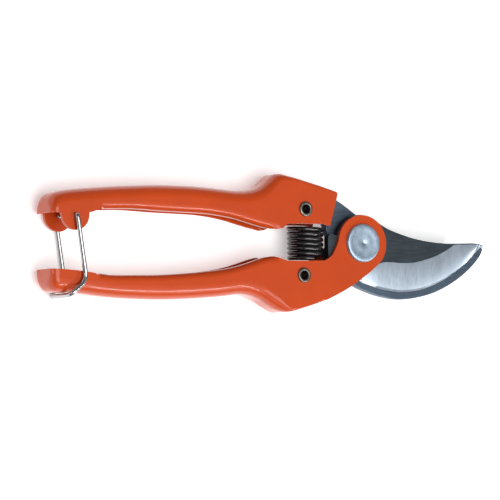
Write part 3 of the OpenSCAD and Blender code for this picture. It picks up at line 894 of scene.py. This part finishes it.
class SHEARS_OT_fasteners(bpy.types.Operator):
    """Pivot bolt, nut, lock washer and the two tubular rivets"""

    bl_idname = "shears.fasteners"
    bl_label = "Pivot and Rivets"

    def bolt(self):
        low, high = (Vector(c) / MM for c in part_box("pivot_bolt"))
        rim, top = high.x, high.z
        bm = bmesh.new()
        under = WALL_TOP + 0.02
        profile = [(0, low.z), (BOLT_R - 0.5, low.z), (BOLT_R, low.z + 0.5), (BOLT_R, under),
                   (rim - 0.25, under), (rim, WALL_TOP + 0.3), (rim - 0.15, top - 0.5),
                   (rim - 0.45, top - 0.14), (rim - 0.9, top - 0.02), (rim - 1.25, top),
                   (rim - 2.35, top), (rim - 2.7, top - 0.06), (rim - 4.6, top - 0.05),
                   (1.25, top - 0.05), (0.95, top - 0.14), (0.35, top - 0.5), (0, top - 0.52)]
        lathe(bm, profile, (0, 0), HEAD_FACES)
        outward(bm)
        picked = []
        for face in bm.faces:
            middle = face.calc_center_median()
            place = int(math.atan2(middle.y, middle.x) / math.tau * HEAD_FACES + HEAD_FACES)
            on_band = rim - 2.35 < middle.xy.length / MM < rim - 1.2
            if face.normal.z > 0.9 and on_band and place % 4 == 0:
                picked.append(face)
        bmesh.ops.inset_individual(bm, faces=picked, thickness=0.05 * MM, depth=0)
        bmesh.ops.translate(bm, verts=list({v for f in picked for v in f.verts}), vec=(0, 0, -0.22 * MM))
        obj = make_object("pivot_bolt_turned", bm, [material("zinc plate")])
        finish_normals(obj, 35)
        settle(obj, "lower_lever", "pivot_bolt")

    def nut(self):
        low, high = (Vector(c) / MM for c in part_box("pivot_nut"))
        flats = (high.y - low.y) / 2
        corner = flats / math.cos(math.radians(30))
        height = high.z
        bm = bmesh.new()
        bmesh.ops.create_cone(bm, cap_ends=True, segments=6, radius1=corner * MM, radius2=corner * MM,
                              depth=height * MM, matrix=Matrix.Translation((0, 0, height / 2 * MM))
                              @ Matrix.Rotation(math.radians(30), 4, "Z"))
        obj = make_object("pivot_nut_hex", bm, [material("zinc plate")])
        if obj.dimensions.x < obj.dimensions.y:
            obj.data.transform(Matrix.Rotation(math.radians(30), 4, "Z"))
        chamfer = bmesh.new()
        lathe(chamfer, [(0, 0), (flats - 0.2, 0), (corner + 0.1, 0.95), (corner + 0.1, height - 0.4),
                        (corner - 0.4, height), (0, height)], (0, 0), 96)
        outward(chamfer)
        cut_with(obj, chamfer, "INTERSECT")
        bored(obj, [(0, 0, -1, height + 1, BOLT_R)])
        cut_edges(obj, 0.12, 2, 25)
        applied(obj)
        finish_normals(obj, 25)
        settle(obj, "lower_lever", "pivot_nut")

    def washer(self):
        bm = bmesh.new()
        low, high = WASHER_LOW / MM, WASHER_HIGH / MM
        inner, outer = BOLT_R + 0.05, high.x
        e = 0.12
        ring = [(inner, low.z + e), (inner + e, low.z), (outer - e, low.z), (outer, low.z + e),
                (outer, high.z - e), (outer - e, high.z), (inner + e, high.z), (inner, high.z - e)]
        lathe(bm, ring + ring[:1], (0, 0), 96)
        outward(bm)
        obj = make_object("lock_washer_split", bm, [material("zinc plate")])
        slit = bmesh.new()
        place = Matrix.Translation(Vector((-6, 1.5, low.z + 0.4)) * MM)
        turned = place @ Matrix.Rotation(math.radians(24), 4, "Z")
        size = Matrix.Diagonal((8 * MM, 0.5 * MM, 4 * MM, 1))
        bmesh.ops.create_cube(slit, size=1.0, matrix=turned @ size)
        cut_with(obj, slit, "DIFFERENCE")
        finish_normals(obj, 35)
        settle(obj, "lower_lever", "lock_washer")

    def rivet(self, node, body, sizes):
        low, high = (Vector(c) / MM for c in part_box(node))
        centre = centre_of(node)
        flare, hole = (high.x - low.x) / 2, sizes.rivet_hole / MM / 2
        half_length = (high.z - low.z) / 2
        curl = [(BARREL_R, HALF), (flare - 0.22, HALF + 0.03), (flare, HALF + 0.24),
                (flare - 0.08, half_length - 0.28), (flare - 0.42, half_length - 0.06),
                (flare - 0.8, half_length), (hole + 0.28, half_length - 0.1),
                (hole + 0.05, half_length - 0.45), (hole, half_length - 0.9)]
        curl = rounded(curl, 0.3, 3)
        side = [(r, centre.z + z) for r, z in curl]
        other = [(r, centre.z - z) for r, z in reversed(curl)]
        bm = bmesh.new()
        lathe(bm, side + other + side[:1], centre, 64)
        outward(bm)
        obj = make_object(node + "_tube", bm, [material("rivet steel")])
        finish_normals(obj, 50)
        settle(obj, body, node)

    def execute(self, context):
        self.bolt()
        self.nut()
        self.washer()
        self.rivet("upper_rivet", "upper_lever", context.scene.shears_sizes)
        self.rivet("lower_rivet", "lower_lever", context.scene.shears_sizes)
        return {"FINISHED"}


# ---------------------------------------------------------------- wire pieces


def drawn_wire(bm, path, radius, sides=16):
    """Sweeps a round wire along a path and closes its two ends with small domes."""
    last = len(path) - 1
    tangents = [(path[min(i + 1, last)] - path[max(i - 1, 0)]).normalized() for i in range(last + 1)]
    across = tangents[0].orthogonal().normalized()
    crosses = []
    for along in tangents:
        across = (across - along * across.dot(along)).normalized()
        crosses.append((across.copy(), along.cross(across)))

    def ring(i, r, shift=0.0):
        a, b = crosses[i]
        turns = (math.tau * k / sides for k in range(sides))
        return [path[i] + tangents[i] * shift + (a * math.cos(t) + b * math.sin(t)) * r for t in turns]

    dome = [(0.35, 0.0), (0.75, 0.12), (0.95, 0.3)]
    row = first_row(bm, ring(0, radius * dome[0][0], radius * dome[0][1]), closed=True)
    ends = [row]
    for r, shift in dome[1:]:
        row = extend(bm, row, ring(0, radius * r, radius * shift), closed=True)
    for i in range(1, last):
        row = extend(bm, row, ring(i, radius), closed=True)
    for r, shift in reversed(dome):
        row = extend(bm, row, ring(last, radius * r, -radius * shift), closed=True)
    ends.append(row)
    for loop in ends:
        bmesh.ops.contextual_create(bm, geom=[bm.edges.get(p) for p in zip(loop, loop[1:] + loop[:1])])
    outward(bm)


BEND_STEP = 0.25    # length of one step round a bend


def bent_path(corners, radii, spacing=0.9):
    """Runs straight between the corners and bends round each one with its own radius."""
    path = [corners[0]]
    for before, corner, after, radius in zip(corners, corners[1:], corners[2:], radii):
        u, v = (before - corner).normalized(), (after - corner).normalized()
        inside = u.angle(v)
        reach = radius / math.tan(inside / 2)
        centre = corner + (u + v).normalized() * radius / math.sin(inside / 2)
        entry = corner + u * reach
        start, end = entry - centre, corner + v * reach - centre
        sweep = math.pi - inside
        count = max(6, int(sweep * radius / BEND_STEP))
        runs = max(1, int((entry - path[-1]).length / spacing))
        path += [path[-1].lerp(entry, k / runs) for k in range(1, runs)]
        for k in range(count + 1):
            t = k / count
            swung = start * math.sin((1 - t) * sweep) + end * math.sin(t * sweep)
            path.append(centre + swung / math.sin(sweep))
    path.append(corners[-1])
    return path


class SHEARS_OT_spring(bpy.types.Operator):
    """Black coil spring between the handles, wound at an even pitch"""

    bl_idname = "shears.spring"
    bl_label = "Coil Spring"

    def execute(self, context):
        sizes = context.scene.shears_sizes
        wire = sizes.spring_wire / MM / 2
        low, high = SPRING_LOW / MM, SPRING_HIGH / MM
        middle = (low + high) / 2
        radius = (high.z - low.z) / 2 - wire
        bottom, top = low.y + wire, high.y - wire
        turns, per_turn = sizes.spring_turns, 30
        count = round(turns * per_turn)
        path = []
        for i in range(count + 1):
            u = i / count
            a = math.tau * turns * u + math.pi / 2
            path.append(Vector((middle.x + radius * math.cos(a), bottom + (top - bottom) * u,
                                middle.z + radius * math.sin(a))))
        bm = bmesh.new()
        drawn_wire(bm, path, wire, 18)
        obj = make_object("coil_spring_wire", bm, [material("black spring coat")])
        settle(obj, "lower_lever", "coil_spring")
        return {"FINISHED"}


class SHEARS_OT_bail(bpy.types.Operator):
    """Bright wire bail, hinged in the upper handle's ears and hooked over the lower toe"""

    bl_idname = "shears.bail"
    bl_label = "Wire Bail"

    def execute(self, context):
        sizes = context.scene.shears_sizes
        radius = sizes.bail_wire / MM / 2
        level = (BAIL_HIGH.z - BAIL_LOW.z) / MM / 2 - radius
        pin = HALF - sizes.sheet / MM - 1.55
        leg, foot = EAR.xy + Vector((3.6, -28.1)), EAR.xy + Vector((-4.2, -34.65))
        near = [(EAR.x, EAR.y, pin), (EAR.x, EAR.y, level), (*leg, level), (*foot, level)]
        corners = [Vector((x, y, MID + z)) for x, y, z in near]
        corners += [Vector((x, y, MID - z)) for x, y, z in reversed(near)]
        pin_bend, bend = level - HALF - 0.15, sizes.bail_bend / MM + radius
        elbow = sizes.leg_bend / MM + radius
        path = bent_path(corners, [pin_bend, elbow, bend, bend, elbow, pin_bend])
        bm = bmesh.new()
        drawn_wire(bm, path, radius, 20)
        obj = make_object("latch_bail_wire", bm, [material("bright wire")])
        settle(obj, "bail", "latch_bail")
        return {"FINISHED"}


# ---------------------------------------------------------------- stage


class SHEARS_OT_stage(bpy.types.Operator):
    """White paper floor, soft studio light and the camera"""

    bl_idname = "shears.stage"
    bl_label = "Stage"

    def camera(self):
        tilt, side = math.radians(32), math.radians(5)
        distance, view_width = 3.0, 0.218
        aim = Vector((-0.0585, -0.003, 0.018))
        lean = math.sin(tilt)
        toward = Vector((-lean * math.cos(side), -lean * math.sin(side), math.cos(tilt)))
        right = Vector((1, 0, 0))
        right = (right - toward * right.dot(toward)).normalized()
        frame_axes = Matrix((right, toward.cross(right), toward)).transposed().to_4x4()
        frame_axes.translation = aim + toward * distance
        data = bpy.data.cameras.new("stage_camera")
        data.sensor_width = 36
        data.lens = data.sensor_width * distance / view_width
        data.clip_end = 20
        camera = bpy.data.objects.new("stage_camera", data)
        camera.matrix_world = frame_axes
        bpy.context.collection.objects.link(camera)
        bpy.context.scene.camera = camera

    def floor(self):
        bm = bmesh.new()
        bmesh.ops.create_grid(bm, x_segments=1, y_segments=1, size=3.0)
        bmesh.ops.translate(bm, verts=bm.verts, vec=(0, 0, min(BAIL_LOW.z, HANDLE_LOW.z) - 0.0002))
        floor = make_object("stage_floor", bm, [material("white paper")], smooth=False)

    def panel_light(self, name, place, aim, width, height, power):
        data = bpy.data.lights.new(name, "AREA")
        data.shape = "RECTANGLE"
        data.size, data.size_y = width, height
        data.energy = power
        lamp = bpy.data.objects.new(name, data)
        lamp.location = place
        lamp.rotation_euler = (Vector(aim) - Vector(place)).to_track_quat("-Z", "Y").to_euler()
        lamp.visible_camera = False
        bpy.context.collection.objects.link(lamp)

    def world(self):
        world = bpy.data.worlds.new("studio")
        world.use_nodes = True
        background = world.node_tree.nodes["Background"]
        background.inputs["Color"].default_value = (1, 1, 1, 1)
        background.inputs["Strength"].default_value = 0.22
        bpy.context.scene.world = world

    def execute(self, context):
        self.camera()
        self.floor()
        self.world()
        middle = (-0.04, 0, 0.01)
        self.panel_light("top_light", (-0.15, -0.45, 1.9), middle, 1.7, 1.5, 34)
        self.panel_light("front_strip", (0.2, -1.5, 0.9), middle, 2.4, 0.12, 4)
        self.panel_light("toe_light", (-1.7, 0.1, 0.6), middle, 0.12, 0.9, 1.6)
        self.panel_light("edge_strip", (1.06, -1.12, 1.28), middle, 1.5, 0.07, 14)
        self.panel_light("bevel_light", (1.35, -0.8, 1.18), middle, 1.3, 0.8, 1.5)
        context.scene.view_settings.view_transform = "Standard"
        return {"FINISHED"}


# ---------------------------------------------------------------- settings and panel


def length(name, text, default, low, high):
    return bpy.props.FloatProperty(name=name, description=text, default=default, min=low, max=high,
                                   unit="LENGTH", subtype="DISTANCE", precision=5)


class ShearsSizes(bpy.types.PropertyGroup):
    sheet: length("Sheet", "Thickness of the pressed handles", 0.0016, 0.0008, 0.002)
    back_radius: length("Back Radius", "Outside radius of the rounded back corners of the grips",
                        0.0056, 0.003, 0.0065)
    lip_radius: length("Lip Radius", "Outside radius of the curled inner edges of the grips",
                       0.003, 0.0024, 0.0036)
    lip_flat: length("Lip Flat", "Flat part of the curled edge beyond its bend",
                     0.0008, 0.0004, 0.0012)
    ear_radius: length("Ear Radius", "Radius of the round ears that carry the bail",
                       0.0069, 0.0055, 0.0075)
    toe_radius: length("Toe Radius", "Rounding of the closed ends of the handles", 0.003, 0.001, 0.004)
    paint_edge: length("Painted Edge", "Softening of the painted sheet edges", 0.0004, 0.0001, 0.0007)
    edge_thickness: length("Cutting Edge", "Thickness left at the cutting edge",
                           0.00035, 0.0002, 0.0006)
    rivet_hole: length("Rivet Hole", "Diameter of the hole through the rivets", 0.0036, 0.003, 0.004)
    spring_wire: length("Spring Wire", "Wire diameter of the coil spring", 0.002, 0.0015, 0.0022)
    spring_turns: bpy.props.FloatProperty(
        name="Spring Turns", description="Full turns of the coil spring", default=6.5, min=5.5,
        max=7)
    bail_wire: length("Bail Wire", "Wire diameter of the bail", 0.0021, 0.0015, 0.0024)
    bail_bend: length("Bail Bend", "Inside bend radius at the corners of the bail's crossbar",
                      0.002, 0.0015, 0.003)
    leg_bend: length("Leg Bend", "Inside bend radius half way down each leg of the bail",
                     0.005, 0.003, 0.008)


def tone(name, text, color):
    return bpy.props.FloatVectorProperty(name=name, description=text, default=color, min=0, max=1,
                                         size=3, subtype="COLOR")


class ShearsTones(bpy.types.PropertyGroup):
    paint: tone("Paint", "Colour of the handle paint", (0.51, 0.052, 0.003))
    steel: tone("Blued Steel", "Colour of the flat faces of the cutting blade", (0.043, 0.056, 0.067))
    hook: tone("Counter-Blade Steel", "Colour of the counter-blade", (0.075, 0.104, 0.14))
    ground: tone("Ground Steel", "Colour of the ground bevel", (0.48, 0.56, 0.65))
    zinc: tone("Zinc Plate", "Colour of the pivot bolt, nut and washer", (0.24, 0.36, 0.48))
    rivet: tone("Rivets", "Colour of the tubular rivets", (0.22, 0.2, 0.18))
    black: tone("Spring Coat", "Colour of the coil spring", (0.003, 0.003, 0.004))
    wire: tone("Bail Wire", "Colour of the wire bail", (0.46, 0.46, 0.47))
    floor: tone("Floor", "Colour of the paper under the tool", (0.92, 0.92, 0.92))


PIECES = ("upper_handle", "lower_handle", "cutting_blade", "counter_blade",
          "fasteners", "spring", "bail", "stage")


class SHEARS_PT_panel(bpy.types.Panel):
    """Sizes, colours and pieces of the shears"""

    bl_idname = "SHEARS_PT_panel"
    bl_label = "Pruning Shears"
    bl_space_type = "VIEW_3D"
    bl_region_type = "UI"
    bl_category = "Shears"

    def draw(self, context):
        for group in (context.scene.shears_sizes, context.scene.shears_tones):
            box = self.layout.box()
            for name in type(group).__annotations__:
                box.prop(group, name)
        for name in PIECES:
            self.layout.operator("shears." + name)


CLASSES = (ShearsSizes, ShearsTones, SHEARS_OT_upper_handle, SHEARS_OT_lower_handle,
           SHEARS_OT_cutting_blade, SHEARS_OT_counter_blade, SHEARS_OT_fasteners, SHEARS_OT_spring,
           SHEARS_OT_bail, SHEARS_OT_stage, SHEARS_PT_panel)


def register():
    for cls in CLASSES:
        bpy.utils.register_class(cls)
    bpy.types.Scene.shears_sizes = bpy.props.PointerProperty(type=ShearsSizes)
    bpy.types.Scene.shears_tones = bpy.props.PointerProperty(type=ShearsTones)


def unregister():
    del bpy.types.Scene.shears_tones
    del bpy.types.Scene.shears_sizes
    for cls in reversed(CLASSES):
        bpy.utils.unregister_class(cls)


def main():
    register()
    for name in PIECES:
        getattr(bpy.ops.shears, name)()


if __name__ == "__main__":
    main()
